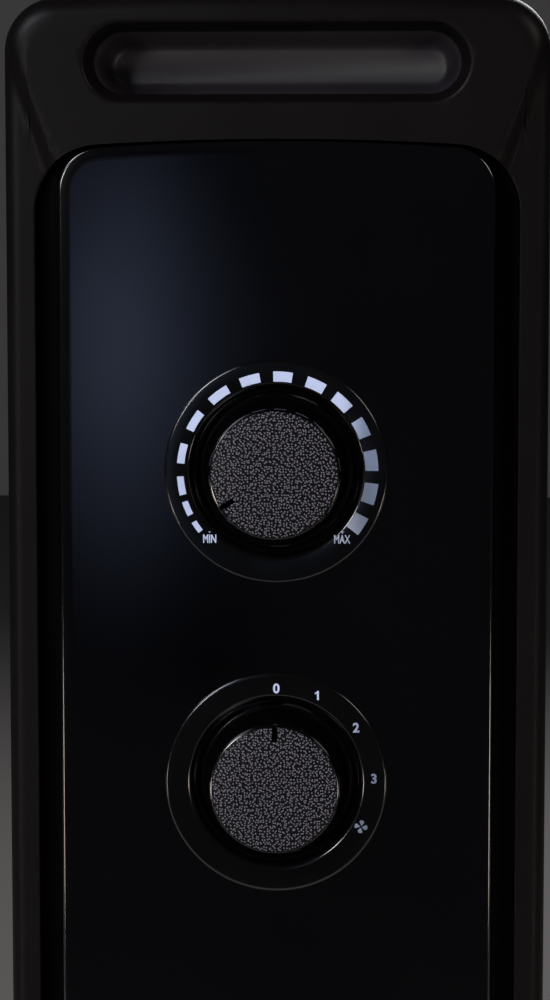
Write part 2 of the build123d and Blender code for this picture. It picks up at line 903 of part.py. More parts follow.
# Cord inlet in the floor of the head: hexagon below, neck through the wall and a bore for the flex
def make_cord_gland():
    with BuildPart() as gland:
        with BuildSketch(Plane.XY.offset(head_bottom - gland_flange)):
            with Locations(gland_place):
                RegularPolygon(gland_flange_radius, gland_sides)
        extrude(amount=gland_flange)
        with BuildSketch(Plane.XY.offset(head_bottom)):
            with Locations(gland_place):
                Circle(gland_radius)
        extrude(amount=head_wall + gland_nut)
        with BuildSketch(Plane.XY.offset(head_bottom - gland_flange)):
            with Locations(gland_place):
                Circle(flex_radius)
        extrude(amount=gland_flange + head_wall + gland_nut, mode=Mode.SUBTRACT)
    return gland


write(make_cord_gland(), "cord_gland")
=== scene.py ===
import math

import bpy
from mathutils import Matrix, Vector


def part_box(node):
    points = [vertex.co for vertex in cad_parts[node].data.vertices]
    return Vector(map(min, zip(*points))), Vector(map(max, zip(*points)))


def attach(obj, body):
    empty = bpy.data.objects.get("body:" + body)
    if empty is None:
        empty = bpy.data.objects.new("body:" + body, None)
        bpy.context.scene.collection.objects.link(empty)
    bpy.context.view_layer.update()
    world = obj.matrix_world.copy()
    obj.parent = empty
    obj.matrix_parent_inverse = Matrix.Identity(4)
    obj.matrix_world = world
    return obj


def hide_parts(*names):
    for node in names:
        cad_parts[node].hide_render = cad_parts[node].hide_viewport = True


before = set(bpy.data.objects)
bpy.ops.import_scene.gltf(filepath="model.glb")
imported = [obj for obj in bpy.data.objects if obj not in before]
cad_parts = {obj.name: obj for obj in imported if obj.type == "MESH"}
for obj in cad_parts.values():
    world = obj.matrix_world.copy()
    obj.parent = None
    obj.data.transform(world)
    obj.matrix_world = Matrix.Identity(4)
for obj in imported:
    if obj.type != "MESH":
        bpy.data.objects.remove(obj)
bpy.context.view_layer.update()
print("stage: frame loaded")

mm = 0.001
coverLow, coverHigh = (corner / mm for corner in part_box("front_cover"))
face = coverLow.y
knobLow, knobHigh = (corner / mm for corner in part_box("thermostat_knob"))
selectorLow, selectorHigh = (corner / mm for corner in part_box("selector_knob"))
grilleLow, grilleHigh = (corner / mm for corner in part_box("outlet_grille"))

# Places that several pieces share, in millimetres; depth runs back from the face of the header
head = {"halfWidth": coverHigh.x, "bottom": coverLow.z, "top": coverHigh.z, "rise": 2.5, "radius": 16.0,
        "seamDepth": coverHigh.y - coverLow.y}
panel = {"halfWidth": 64.0, "bottom": coverHigh.z - 333.5, "top": coverHigh.z - 43.5, "rise": 2.9,
         "radius": 12.5, "thickness": 2.5}
groove = {"width": 7.0, "hairline": 0.4, "depth": 6.5}
dials = {"thermostat": (knobLow.z + knobHigh.z) / 2, "selector": (selectorLow.z + selectorHigh.z) / 2}
slotMiddle = coverHigh.z - 20.8


def deselectAll():
    if bpy.context.object and bpy.context.object.mode != "OBJECT":
        bpy.ops.object.mode_set(mode="OBJECT")
    bpy.ops.object.select_all(action="DESELECT")


def makeActive(piece):
    deselectAll()
    piece.select_set(True)
    bpy.context.view_layer.objects.active = piece


# A circle becomes the first outline, and each extrusion of it is moved to the next outline
def loftRings(name, rings, closed=False):
    deselectAll()
    count = len(rings[0])
    bpy.ops.mesh.primitive_circle_add(vertices=count, radius=mm, fill_type="NOTHING" if closed else "NGON")
    piece = bpy.context.object
    piece.name = name
    mesh = piece.data
    for vertex, place in zip(mesh.vertices, rings[0]):
        vertex.co = Vector(place) * mm
    following = rings[1:] + ([rings[0]] if closed else [])
    bpy.ops.object.mode_set(mode="EDIT")
    bpy.ops.mesh.select_all(action="SELECT")
    for ring in following:
        if closed:
            bpy.ops.mesh.extrude_edges_move()
        else:
            bpy.ops.mesh.extrude_region_move()
        bpy.ops.object.mode_set(mode="OBJECT")
        moved = [vertex for vertex in mesh.vertices if vertex.select]
        for vertex, place in zip(moved, ring):
            vertex.co = Vector(place) * mm
        bpy.ops.object.mode_set(mode="EDIT")
    bpy.ops.mesh.select_all(action="SELECT")
    bpy.ops.mesh.remove_doubles(threshold=0.00001)
    bpy.ops.mesh.normals_make_consistent(inside=False)
    bpy.ops.object.mode_set(mode="OBJECT")
    return piece


# A profile of (depth, radius) pairs turned about an axis that runs front to back
def turnedAlongY(name, profile, height, count, closed=False):
    rings = []
    for depth, radius in profile:
        rings.append([(radius * math.cos(math.tau * k / count), face + depth,
                       height + radius * math.sin(math.tau * k / count)) for k in range(count)])
    return loftRings(name, rings, closed)


# Stretches the shape just added about its middle, in edit mode, so that the object's own scale stays 1
def stretchTo(size, middle):
    bpy.ops.object.mode_set(mode="EDIT")
    bpy.ops.mesh.select_all(action="SELECT")
    bpy.ops.transform.resize(value=size, center_override=middle)
    bpy.ops.object.mode_set(mode="OBJECT")


def smooth(piece, angle):
    makeActive(piece)
    bpy.ops.object.shade_smooth_by_angle(angle=math.radians(angle))


def bevelEdges(piece, width, segments, angle=30.0):
    makeActive(piece)
    modifier = piece.modifiers.new("roundedEdges", "BEVEL")
    modifier.width = width * mm
    modifier.segments = segments
    modifier.limit_method = "ANGLE"
    modifier.angle_limit = math.radians(angle)
    modifier.use_clamp_overlap = True
    bpy.ops.object.modifier_apply(modifier=modifier.name)


def cut(piece, cutter):
    makeActive(piece)
    modifier = piece.modifiers.new("opening", "BOOLEAN")
    modifier.operation = "DIFFERENCE"
    modifier.solver = "EXACT"
    modifier.object = cutter
    bpy.ops.object.modifier_apply(modifier=modifier.name)
    bpy.data.objects.remove(cutter)


# A copy of a CAD mesh with its loose triangles merged and its edges rounded
def dressedCopy(node, name, width, segments=2, smoothAngle=40.0):
    deselectAll()
    piece = bpy.data.objects.new(name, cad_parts[node].data.copy())
    bpy.context.scene.collection.objects.link(piece)
    piece.data.materials.clear()
    makeActive(piece)
    bpy.ops.object.mode_set(mode="EDIT")
    bpy.ops.mesh.select_all(action="SELECT")
    bpy.ops.mesh.remove_doubles(threshold=0.000005)
    bpy.ops.mesh.dissolve_limited(angle_limit=math.radians(0.6))
    bpy.ops.object.mode_set(mode="OBJECT")
    if width > 0:
        bevelEdges(piece, width, segments)
    smooth(piece, smoothAngle)
    return piece


def settle(piece, body, material, nodes=()):
    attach(piece, body)
    if nodes:
        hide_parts(*nodes)
    piece.data.materials.clear()
    piece.data.materials.append(material)
    return piece


# Points round an upright rectangle with rounded corners and an arched top, from the lower right upwards
outlineCounts = {"side": 44, "corner": 14, "arch": 44, "bottom": 26}
sideCrowding = 2.2


def archedOutline(halfWidth, bottom, top, rise, radius):
    arch = (halfWidth ** 2 + rise ** 2) / (2 * rise)
    archMiddle = top - arch
    cornerX = halfWidth - radius
    cornerZ = archMiddle + math.sqrt((arch - radius) ** 2 - cornerX ** 2)
    lean = math.atan2(cornerZ - archMiddle, cornerX)
    low = bottom + radius
    points = []
    for k in range(outlineCounts["side"]):
        share = 1 - (1 - k / outlineCounts["side"]) ** sideCrowding
        points.append((halfWidth, low + (cornerZ - low) * share))
    for k in range(outlineCounts["corner"]):
        turn = lean * k / outlineCounts["corner"]
        points.append((cornerX + radius * math.cos(turn), cornerZ + radius * math.sin(turn)))
    for k in range(outlineCounts["arch"]):
        turn = lean + (math.pi - 2 * lean) * k / outlineCounts["arch"]
        points.append((arch * math.cos(turn), archMiddle + arch * math.sin(turn)))
    for k in range(outlineCounts["corner"]):
        turn = math.pi - lean + lean * k / outlineCounts["corner"]
        points.append((-cornerX + radius * math.cos(turn), cornerZ + radius * math.sin(turn)))
    for k in range(outlineCounts["side"]):
        share = (k / outlineCounts["side"]) ** sideCrowding
        points.append((-halfWidth, cornerZ - (cornerZ - low) * share))
    for k in range(outlineCounts["corner"]):
        turn = math.pi + math.pi / 2 * k / outlineCounts["corner"]
        points.append((-cornerX + radius * math.cos(turn), low + radius * math.sin(turn)))
    for k in range(outlineCounts["bottom"]):
        points.append((-cornerX + 2 * cornerX * k / outlineCounts["bottom"], bottom))
    for k in range(outlineCounts["corner"]):
        turn = 1.5 * math.pi + math.pi / 2 * k / outlineCounts["corner"]
        points.append((cornerX + radius * math.cos(turn), low + radius * math.sin(turn)))
    return points


def headOutline(inset):
    return archedOutline(head["halfWidth"] - inset, head["bottom"] + inset, head["top"] - inset, head["rise"],
                         head["radius"] - inset)


# share is 1 on the outer edge of the groove and 0 on the edge of the gloss panel
def grooveOutline(share):
    grow = groove["width"] * share
    return archedOutline(panel["halfWidth"] + grow, panel["bottom"] - grow,
                         panel["top"] + groove["hairline"] * share, panel["rise"], panel["radius"] + grow)


def panelOutline(inset):
    return archedOutline(panel["halfWidth"] - inset, panel["bottom"] + inset, panel["top"] - inset,
                         panel["rise"], panel["radius"] - inset)


# Upright stadium outline for the carrying slot
def stadium(halfWidth, halfHeight, depth, count=64):
    points = []
    for k in range(count):
        turn = math.tau * (k + 0.5) / count
        side = 1 if math.cos(turn) > 0 else -1
        points.append((side * (halfWidth - halfHeight) + halfHeight * math.cos(turn), face + depth,
                       slotMiddle + halfHeight * math.sin(turn)))
    return points


def linear(value):
    share = value / 255
    return share / 12.92 if share <= 0.04045 else ((share + 0.055) / 1.055) ** 2.4


def hexColour(text):
    return tuple(linear(int(text[k:k + 2], 16)) for k in (0, 2, 4)) + (1.0,)


def addNode(tree, kind, settings=None, values=None, links=None):
    node = tree.nodes.new(kind)
    for key, value in (settings or {}).items():
        setattr(node, key, value)
    for key, value in (values or {}).items():
        node.inputs[key].default_value = value
    for key, source in (links or {}).items():
        tree.links.new(source, node.inputs[key])
    return node


def perMillimetre(size):
    return 1 / (size * mm)


# Mixes a colour over the base colour, as far as the share goes
def mixOver(tree, shader, share, colour):
    under = shader.inputs["Base Color"].links[0].from_socket
    mixed = addNode(tree, "ShaderNodeMix", {"data_type": "RGBA"})
    mixed.inputs[7].default_value = hexColour(colour)
    tree.links.new(share, mixed.inputs[0])
    tree.links.new(under, mixed.inputs[6])
    tree.links.new(mixed.outputs[2], shader.inputs["Base Color"])


pebbles = {"randomness": 0.85, "glintCore": 0.02, "glintEdge": 0.36}


# Every finish has a mottled colour, an uneven roughness and a grain in relief, all on Object coordinates.
# A colour given as pebbled makes the grain a field of pebbles, with painted highlights of that colour on their
# crowns.
def finish(name, dark, light, roughness, spread, grain, relief, mottle=30.0, metallic=0.0, ior=None,
           pebbled=None, coat=0.0, specular=0.5):
    material = bpy.data.materials.new(name)
    material.use_nodes = True
    tree = material.node_tree
    shader = tree.nodes["Principled BSDF"]
    place = addNode(tree, "ShaderNodeTexCoord").outputs["Object"]
    patches = addNode(tree, "ShaderNodeTexNoise", values={"Scale": perMillimetre(mottle), "Detail": 5.0},
                      links={"Vector": place})
    colour = addNode(tree, "ShaderNodeMix", {"data_type": "RGBA"})
    colour.inputs[6].default_value = hexColour(dark)
    colour.inputs[7].default_value = hexColour(light)
    tree.links.new(patches.outputs["Fac"], colour.inputs[0])
    tree.links.new(colour.outputs[2], shader.inputs["Base Color"])
    rough = addNode(tree, "ShaderNodeMapRange", values={"To Min": roughness - spread, "To Max": roughness + spread},
                    links={"Value": patches.outputs["Fac"]})
    tree.links.new(rough.outputs["Result"], shader.inputs["Roughness"])
    if pebbled:
        parts = addNode(tree, "ShaderNodeSeparateXYZ", links={"Vector": place}).outputs
        place = addNode(tree, "ShaderNodeCombineXYZ", links={"X": parts["X"], "Y": parts["Z"]}).outputs["Vector"]
        bumps = addNode(tree, "ShaderNodeTexVoronoi", {"voronoi_dimensions": "2D", "feature": "F1"},
                        {"Scale": perMillimetre(grain), "Randomness": pebbles["randomness"]}, {"Vector": place})
        height = bumps.outputs["Distance"]
        # The glints on the crowns are painted in, as pale spots at the middle of each cell
        crown = addNode(tree, "ShaderNodeMapRange",
                        values={"From Min": pebbles["glintCore"], "From Max": pebbles["glintEdge"], "To Min": 1.0,
                                "To Max": 0.0}, links={"Value": height})
        mixOver(tree, shader, crown.outputs["Result"], pebbled)
    else:
        bumps = addNode(tree, "ShaderNodeTexNoise", values={"Scale": perMillimetre(grain), "Detail": 3.0},
                        links={"Vector": place})
        height = bumps.outputs["Fac"]
    bump = addNode(tree, "ShaderNodeBump", {"invert": relief < 0}, {"Strength": 1.0, "Distance": abs(relief) * mm},
                   links={"Height": height})
    tree.links.new(bump.outputs["Normal"], shader.inputs["Normal"])
    shader.inputs["Metallic"].default_value = metallic
    shader.inputs["Specular IOR Level"].default_value = specular
    shader.inputs["Coat Weight"].default_value = coat
    shader.inputs["Coat Roughness"].default_value = 0.08
    if ior:
        shader.inputs["IOR"].default_value = ior
    return material


# Spark-eroded ABS: a fine dry grain that scatters the highlights
texturedAbs = finish("texturedBlackAbs", "080606", "0C0A0A", 0.38, 0.05, 0.5, 0.05, ior=1.5, specular=0.07)
# Painted light: the same plastic in the carrying cup, painted paler and given a full specular level, standing in for
# the light on the cup's floor
cupPaintedLightAbs = finish("paintedLightCupAbs", "2F2B30", "37333A", 0.42, 0.05, 0.5, 0.04, ior=1.5)
# Polished ABS: deep black with sharp reflections and faint polishing haze
glossAbs = finish("polishedBlackAbs", "020203", "040405", 0.10, 0.03, 9.0, 0.003, mottle=45.0, ior=1.5)
# Polished ABS of the dial rings and knob skirts
ringAbs = finish("glossBlackDialAbs", "030303", "050506", 0.13, 0.04, 4.0, 0.004, mottle=12.0, ior=1.5)
# Leather grain moulded in the knob faces, with pebbles about 0.8 mm across and a painted highlight on each pebble's
# crown
pebbledAbs = finish("pebbledBlackAbs", "0A090C", "111014", 0.30, 0.03, 0.82, -0.12, mottle=5.0, ior=1.53,
                    pebbled="7C7A83", specular=0.06)
# Pad-printed ink: a thin matt film, a little worn
printedInk = finish("padPrintedInk", "B2BEDE", "BECAEA", 0.55, 0.06, 0.8, 0.004, mottle=2.0)


# Turns the base colour to another along one axis, between two places in millimetres
def fadeAlong(material, axis, colour, start, end):
    tree = material.node_tree
    place = addNode(tree, "ShaderNodeTexCoord").outputs["Object"]
    along = addNode(tree, "ShaderNodeSeparateXYZ", links={"Vector": place}).outputs[axis]
    share = addNode(tree, "ShaderNodeMapRange", {"interpolation_type": "SMOOTHSTEP"},
                    {"From Min": start * mm, "From Max": end * mm}, {"Value": along})
    mixOver(tree, tree.nodes["Principled BSDF"], share.outputs["Result"], colour)


# Painted shade: the ink is painted greyer on the right of both dials, where less light falls on it
fadeAlong(printedInk, "X", "66738C", 18.0, 27.5)
# Baked enamel on pressed steel: satin with a slight orange peel
finEnamel = finish("bakedBlackEnamel", "151415", "1C1B1C", 0.36, 0.06, 2.6, 0.03, mottle=60.0, coat=0.15)
# Powder coat on the wheel plates: drier and more pebbly than the enamel
powderCoat = finish("blackPowderCoat", "141414", "1C1C1C", 0.48, 0.06, 0.9, 0.03, mottle=25.0)
# Heat resistant glass-filled nylon of the grille, castors and cord gland
nylon = finish("mouldedBlackNylon", "121212", "1A1A1B", 0.45, 0.07, 0.8, 0.02, mottle=15.0, ior=1.53)
wheelNylon = finish("mouldedGreyNylon", "18181A", "242426", 0.42, 0.07, 1.2, 0.03, mottle=10.0, ior=1.53)
fanPlastic = finish("mouldedFanPlastic", "1B1B1B", "262626", 0.40, 0.06, 1.0, 0.02, mottle=12.0)
zincPlate = finish("zincPlatedSteel", "9A9C9E", "B9BBBC", 0.32, 0.10, 0.7, 0.01, mottle=6.0, metallic=1.0)
galvanised = finish("galvanisedSheet", "8E9092", "B2B4B5", 0.40, 0.12, 7.0, 0.02, mottle=9.0, metallic=1.0)
sheathSteel = finish("drawnSheathSteel", "7C776F", "9B958B", 0.38, 0.10, 1.0, 0.02, mottle=8.0, metallic=1.0)
laminations = finish("stampedLaminations", "5A5B5E", "77787A", 0.45, 0.10, 0.5, 0.03, mottle=4.0, metallic=1.0)
phenolic = finish("palePhenolic", "C9C2B2", "DAD4C6", 0.50, 0.06, 0.9, 0.02, mottle=10.0)
mica = finish("micaBoard", "8A7C62", "AB9D80", 0.45, 0.10, 1.5, 0.03, mottle=5.0)
print("stage: materials made")


grooveShade = {"start": 3.4, "end": 5.6, "halfWidth": 74.0, "below": 9.0, "above": 1.5, "colour": "010101",
               "specular": 0.01}


# Painted shade: the groove round the panel lies in its own shade, so its colour is painted almost black and its
# specular level lowered
def paintGrooveShade(material):
    tree = material.node_tree
    shader = tree.nodes["Principled BSDF"]
    place = addNode(tree, "ShaderNodeTexCoord").outputs["Object"]
    parts = addNode(tree, "ShaderNodeSeparateXYZ", links={"Vector": place}).outputs
    deep = addNode(tree, "ShaderNodeMapRange", {"interpolation_type": "SMOOTHSTEP"},
                   {"From Min": (face + grooveShade["start"]) * mm, "From Max": (face + grooveShade["end"]) * mm},
                   {"Value": parts["Y"]})
    off = addNode(tree, "ShaderNodeMath", {"operation": "ABSOLUTE"}, links={0: parts["X"]})
    limits = (("LESS_THAN", grooveShade["halfWidth"], off.outputs["Value"]),
              ("GREATER_THAN", panel["bottom"] - grooveShade["below"], parts["Z"]),
              ("LESS_THAN", panel["top"] + grooveShade["above"], parts["Z"]))
    share = deep.outputs["Result"]
    for operation, place, value in limits:
        limit = addNode(tree, "ShaderNodeMath", {"operation": operation}, {1: place * mm}, {0: value})
        share = addNode(tree, "ShaderNodeMath", {"operation": "MULTIPLY"},
                        links={0: share, 1: limit.outputs["Value"]}).outputs["Value"]
    mixOver(tree, shader, share, grooveShade["colour"])
    level = shader.inputs["Specular IOR Level"].default_value
    dull = addNode(tree, "ShaderNodeMapRange", values={"To Min": level, "To Max": grooveShade["specular"]},
                   links={"Value": share})
    tree.links.new(dull.outputs["Result"], shader.inputs["Specular IOR Level"])


# Paints shade into the groove of the textured ABS
paintGrooveShade(texturedAbs)

cadFinishes = {
    "thermostat_spindle": zincPlate, "selector_spindle": zincPlate, "heat_shield": galvanised,
    "control_bracket": galvanised, "thermostat_body": phenolic, "selector_switch": phenolic,
    "fan_duct": galvanised, "fan_motor": laminations, "fan_impeller": fanPlastic, "booster_element": mica,
    "tilt_switch": phenolic, "thermal_cutout": zincPlate, "terminal_block": phenolic,
    "immersion_element": sheathSteel,
}
for node, material in cadFinishes.items():
    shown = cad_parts[node]
    shown.data.materials.clear()
    shown.data.materials.append(material)

cover = {"edgeDepth": 7.0, "headerEdge": 7.5, "borderEdge": 4.0, "borderDepth": 3.0, "wall": 2.5,
         "cavityDepth": 9.0, "creaseOuter": (75.5, -25.0), "creaseInner": (66.0, -51.5), "creaseSoftness": 1.9,
         "trayBackInset": 11.0, "trayBackDepth": 5.0, "rimInset": 0.3, "rimStep": 0.4, "sideDepths": (30.0, 14.0),
         "faceRings": 26, "floorDepth": 2.55, "floorInset": 2.0, "smoothAngle": 38}


# How far a point is above the crease where the raised header falls to the side borders: 0 below, 1 above
def headerShare(x, z):
    outerX, outerDrop = cover["creaseOuter"]
    innerX, innerDrop = cover["creaseInner"]
    alongX, alongZ = outerX - innerX, outerDrop - innerDrop
    length = math.hypot(alongX, alongZ)
    offX, offZ = abs(x) - innerX, z - (head["top"] + innerDrop)
    distance = (offZ * alongX - offX * alongZ) / length
    share = min(max(distance / (2 * cover["creaseSoftness"]) + 0.5, 0), 1)
    return share * share * (3 - 2 * share)


def roundedEdge(inset, width, drop):
    left = 1 - min(inset / width, 1)
    return drop * (1 - math.sqrt(1 - left * left))


def frontDepth(x, z, inset):
    share = headerShare(x, z)
    headerDepth = roundedEdge(inset, cover["headerEdge"], cover["edgeDepth"])
    borderDepth = cover["borderDepth"] + roundedEdge(inset, cover["borderEdge"],
                                                     cover["edgeDepth"] - cover["borderDepth"])
    return share * headerDepth + (1 - share) * borderDepth


def flatRing(outline, depth):
    return [(x, face + depth, z) for x, z in outline]


rings = [flatRing(panelOutline(cover["trayBackInset"]), cover["trayBackDepth"]),
         flatRing(panelOutline(cover["trayBackInset"]), cover["cavityDepth"]),
         flatRing(headOutline(cover["wall"]), cover["cavityDepth"]),
         flatRing(headOutline(cover["wall"]), head["seamDepth"]),
         flatRing(headOutline(cover["rimInset"]), head["seamDepth"]),
         flatRing(headOutline(0.0), head["seamDepth"] - cover["rimStep"]),
         *[flatRing(headOutline(0.0), depth) for depth in cover["sideDepths"]]]
edgeInsets = (0.0, 0.12, 0.4, 0.85, 1.4, 2.1, 2.9, 3.8, 4.8, 6.0, 7.5)
for inset in edgeInsets:
    rings.append([(x, face + frontDepth(x, z, inset), z) for x, z in headOutline(inset)])
outer, inner = headOutline(edgeInsets[-1]), grooveOutline(1.06)
for k in range(1, cover["faceRings"] + 1):
    share = k / cover["faceRings"]
    ring = []
    for (ax, az), (bx, bz) in zip(outer, inner):
        x, z = ax + (bx - ax) * share, az + (bz - az) * share
        ring.append((x, face + frontDepth(x, z, cover["headerEdge"]), z))
    rings.append(ring)
for share, drop in ((1.03, 0.08), (1.01, 0.3), (1.0, 0.75)):
    rings.append([(x, face + frontDepth(x, z, cover["headerEdge"]) + drop, z) for x, z in grooveOutline(share)])
for share, depth in ((0.985, 6.0), (0.95, 6.4), (0.88, groove["depth"]), (0.10, groove["depth"]), (0.04, 6.3),
                     (0.0, 5.6), (0.0, cover["floorDepth"])):
    rings.append(flatRing(grooveOutline(share), depth))
rings.append(flatRing(panelOutline(cover["floorInset"]), cover["floorDepth"]))
coverPiece = loftRings("frontCover", rings)

slot = {"halfWidth": 56.0, "halfHeight": 11.3, "mouthDrop": 2.23}
innerHalfWidth = slot["halfWidth"] - slot["mouthDrop"]
innerHalfHeight = slot["halfHeight"] - slot["mouthDrop"]
lipSteps = ((1.5, -1.0), (1.2, -0.02), (0.75, 0.08), (0.35, 0.3), (0.0, 0.75))  # growth and depth of the rounded lip
throatSteps = ((0.4, 4.2), (0.0, 5.4), (0.0, 14.0))
slotCutter = loftRings("slotCutter", [
    *[stadium(slot["halfWidth"] + grow, slot["halfHeight"] + grow, depth) for grow, depth in lipSteps],
    *[stadium(innerHalfWidth + grow, innerHalfHeight + grow, depth) for grow, depth in throatSteps]])
cut(coverPiece, slotCutter)
well = {"radius": 24.8, "front": 1.0, "back": 12.0, "count": 96}
for height in dials.values():
    profile = [(well["front"], well["radius"]), (well["back"], well["radius"])]
    cut(coverPiece, turnedAlongY("wellCutter", profile, height, well["count"]))
outlet = {"width": 112.0, "height": 104.0, "cutLength": 30.0, "cutDepth": 5}
outletMiddle = (grilleLow.z + grilleHigh.z) / 2
deselectAll()
outletPlace = (0, (face + outlet["cutDepth"]) * mm, outletMiddle * mm)
bpy.ops.mesh.primitive_cube_add(size=mm, location=outletPlace)
outletCutter = bpy.context.object
stretchTo((outlet["width"], outlet["cutLength"], outlet["height"]), outletPlace)
cut(coverPiece, outletCutter)
smooth(coverPiece, cover["smoothAngle"])
settle(coverPiece, "root", texturedAbs, ["front_cover"])

cup = {"flange": 2.0, "clearance": 0.02, "flangeDepth": 9.0, "backDepth": 32.0, "wallDepth": 16.0,
       "roundDepth": 14.0, "roundInset": 4.5}
cupRings = [stadium(innerHalfWidth + cup["flange"], innerHalfHeight + cup["flange"], cup["backDepth"]),
            stadium(innerHalfWidth + cup["flange"], innerHalfHeight + cup["flange"], cup["flangeDepth"]),
            stadium(innerHalfWidth + cup["clearance"], innerHalfHeight + cup["clearance"], cup["flangeDepth"])]
for turn in (0, 0.2, 0.4, 0.6, 0.8, 1.0, 1.2, 1.4, math.pi / 2):
    drawn = cup["roundInset"] * (1 - math.cos(turn))
    cupRings.append(stadium(innerHalfWidth + cup["clearance"] - drawn, innerHalfHeight + cup["clearance"] - drawn,
                            cup["wallDepth"] + cup["roundDepth"] * math.sin(turn)))
cupPiece = loftRings("carryingCup", cupRings)
smooth(cupPiece, 40)
settle(cupPiece, "root", cupPaintedLightAbs, ["handle_cup"])
print("stage: front cover made")

panelSteps = ((0.05, panel["thickness"]), (0.05, 0.9), (0.12, 0.5), (0.32, 0.2), (0.62, 0.05), (1.0, 0.0),
              (4.0, 0.0))  # inset and depth of the rounded edge
panelPiece = loftRings("glossPanel", [flatRing(panelOutline(inset), depth) for inset, depth in panelSteps])
dialHole = {"radius": 30.5, "front": -2.0, "back": 5.0, "count": 128}
for height in dials.values():
    profile = [(dialHole["front"], dialHole["radius"]), (dialHole["back"], dialHole["radius"])]
    cut(panelPiece, turnedAlongY("panelCutter", profile, height, dialHole["count"]))
smooth(panelPiece, 30)
settle(panelPiece, "root", glossAbs, ["control_panel"])

ringProfile = [(0.6, 32.9), (0.0, 32.9), (-0.25, 32.82), (-0.42, 32.6), (-0.5, 32.3), (-0.5, 31.9), (-0.5, 26.6),
               (-0.46, 26.15), (-0.3, 25.65), (0.05, 25.2), (0.6, 24.85), (1.4, 24.5), (3.2, 23.7), (4.9, 23.0),
               (5.5, 22.9), (5.6, 23.4), (2.6, 25.0), (2.6, 29.0), (0.6, 30.4)]
knobProfile = [(5.3, 3.3), (5.3, 22.4), (5.15, 22.5), (4.95, 22.45), (4.85, 22.2), (4.55, 21.2), (4.2, 20.85),
               (3.4, 20.65), (1.8, 20.5), (0.0, 20.35), (-4.0, 19.95), (-8.0, 19.55), (-10.4, 19.25),
               (-11.2, 19.05), (-11.7, 18.75), (-11.75, 18.55), (-11.3, 18.45), (-11.3, 3.0)]
faceProfile = [(-11.2, 18.42), (-11.7, 18.40), (-11.9, 18.25), (-12.0, 17.9), (-12.0, 9.0)]
notch = {"width": 1.5, "length": 6.6, "inner": 14.1, "depth": 0.8, "lead": 0.6, "middleDepth": -12.4}
rest = {"thermostat": -122.0, "selector": 0.0}  # where the notches point, in degrees clockwise from the top
turnedCounts = {"ring": 160, "knob": 128}
for dial, height in dials.items():
    ringPiece = turnedAlongY(f"{dial}DialRing", ringProfile, height, turnedCounts["ring"], closed=True)
    smooth(ringPiece, 50)
    settle(ringPiece, "root", ringAbs)
    knobPiece = turnedAlongY(f"{dial}Knob", knobProfile, height, turnedCounts["knob"], closed=True)
    facePiece = turnedAlongY(f"{dial}KnobFace", faceProfile, height, turnedCounts["knob"])
    turn = math.radians(rest[dial])
    for piece in (knobPiece, facePiece):
        deselectAll()
        reach = notch["inner"] + notch["length"] / 2
        middle = Vector((reach * math.sin(turn), face + notch["middleDepth"], height + reach * math.cos(turn))) * mm
        bpy.ops.mesh.primitive_cube_add(size=mm, location=middle)
        cutter = bpy.context.object
        stretchTo((notch["width"], 2 * notch["depth"] + notch["lead"], notch["length"]), middle)
        for vertex in cutter.data.vertices:
            offX, offZ = vertex.co.x, vertex.co.z
            vertex.co.x = offX * math.cos(turn) + offZ * math.sin(turn)
            vertex.co.z = offZ * math.cos(turn) - offX * math.sin(turn)
        cut(piece, cutter)
    smooth(knobPiece, 35)
    smooth(facePiece, 35)
    settle(knobPiece, f"{dial}_dial", ringAbs, [f"{dial}_knob"])
    settle(facePiece, f"{dial}_dial", pebbledAbs)
print("stage: panel, rings and knobs made")

landDepth = -0.5
inkFilm = 0.03
capShare = 0.69  # height of a capital letter over the size of the type


# A flat outline on the land of a ring, raised by the film of ink
def inkPatch(name, points):
    front = [(x, face + landDepth - inkFilm, z) for x, z in points]
    back = [(x, face + landDepth + inkFilm, z) for x, z in points]
    return loftRings(name, [back, front])


def joined(name, parts):
    deselectAll()
    for part in parts:
        part.select_set(True)
    bpy.context.view_layer.objects.active = parts[0]
    bpy.ops.object.join()
    parts[0].name = name
    return parts[0]


def printedText(text, x, z, height, stretch=1.0, weight=0.0):
    deselectAll()
    bpy.ops.object.text_add()
    letters = bpy.context.object
    letters.data.body = text
    letters.data.align_x = "CENTER"
    letters.data.align_y = "CENTER"
    letters.data.size = height / capShare * mm
    letters.data.offset = weight * mm
    letters.data.extrude = inkFilm * mm
    letters.data.resolution_u = 6
    bpy.ops.object.convert(target="MESH")
    letters = bpy.context.object
    middle = sum((Vector(corner) for corner in letters.bound_box), Vector()) / 8
    for vertex in letters.data.vertices:
        offX, offY, offZ = vertex.co - middle
        vertex.co = Vector((x * mm + offX * stretch, (face + landDepth) * mm - offZ, z * mm + offY))
    return letters


# Fourteen bars that grow clockwise from MIN to MAX
barAngles = (-125.1, -112.7, -98.6, -79.2, -58.1, -36.5, -15.7, 4.1, 24.4, 43.3, 62.9, 83.2, 102.8, 122.3)
barLengths = (3.5, 4.3, 5.5, 5.9, 6.2, 6.4, 5.9, 5.6, 5.7, 5.7, 5.6, 6.0, 6.0, 5.3)
barShape = {"radius": 28.4, "radiusDip": 0.4, "thin": 1.6, "growth": 2.6, "steps": 4}
bars = []
for k, (angle, wide) in enumerate(zip(barAngles, barLengths)):
    share = k / (len(barAngles) - 1)
    middleRadius = barShape["radius"] - barShape["radiusDip"] * math.sin(math.pi * share)
    thick = barShape["thin"] + barShape["growth"] * share
    spread = math.degrees(wide / middleRadius) / 2
    corners = []
    steps = barShape["steps"]
    for radius, direction in ((middleRadius - thick / 2, 1), (middleRadius + thick / 2, -1)):
        for step in range(steps + 1):
            swing = math.radians(angle + direction * spread * (2 * step / steps - 1))
            corners.append((radius * math.sin(swing), dials["thermostat"] + radius * math.cos(swing)))
    bars.append(inkPatch("bar", corners))
scaleWords = {"drop": 116.6, "signDrops": (114.6, 114.4), "height": 2.4, "signHeight": 1.6, "weight": 0.08}
bars.append(printedText("MIN", -19.56, panel["top"] - scaleWords["drop"], scaleWords["height"], 0.66,
                        scaleWords["weight"]))
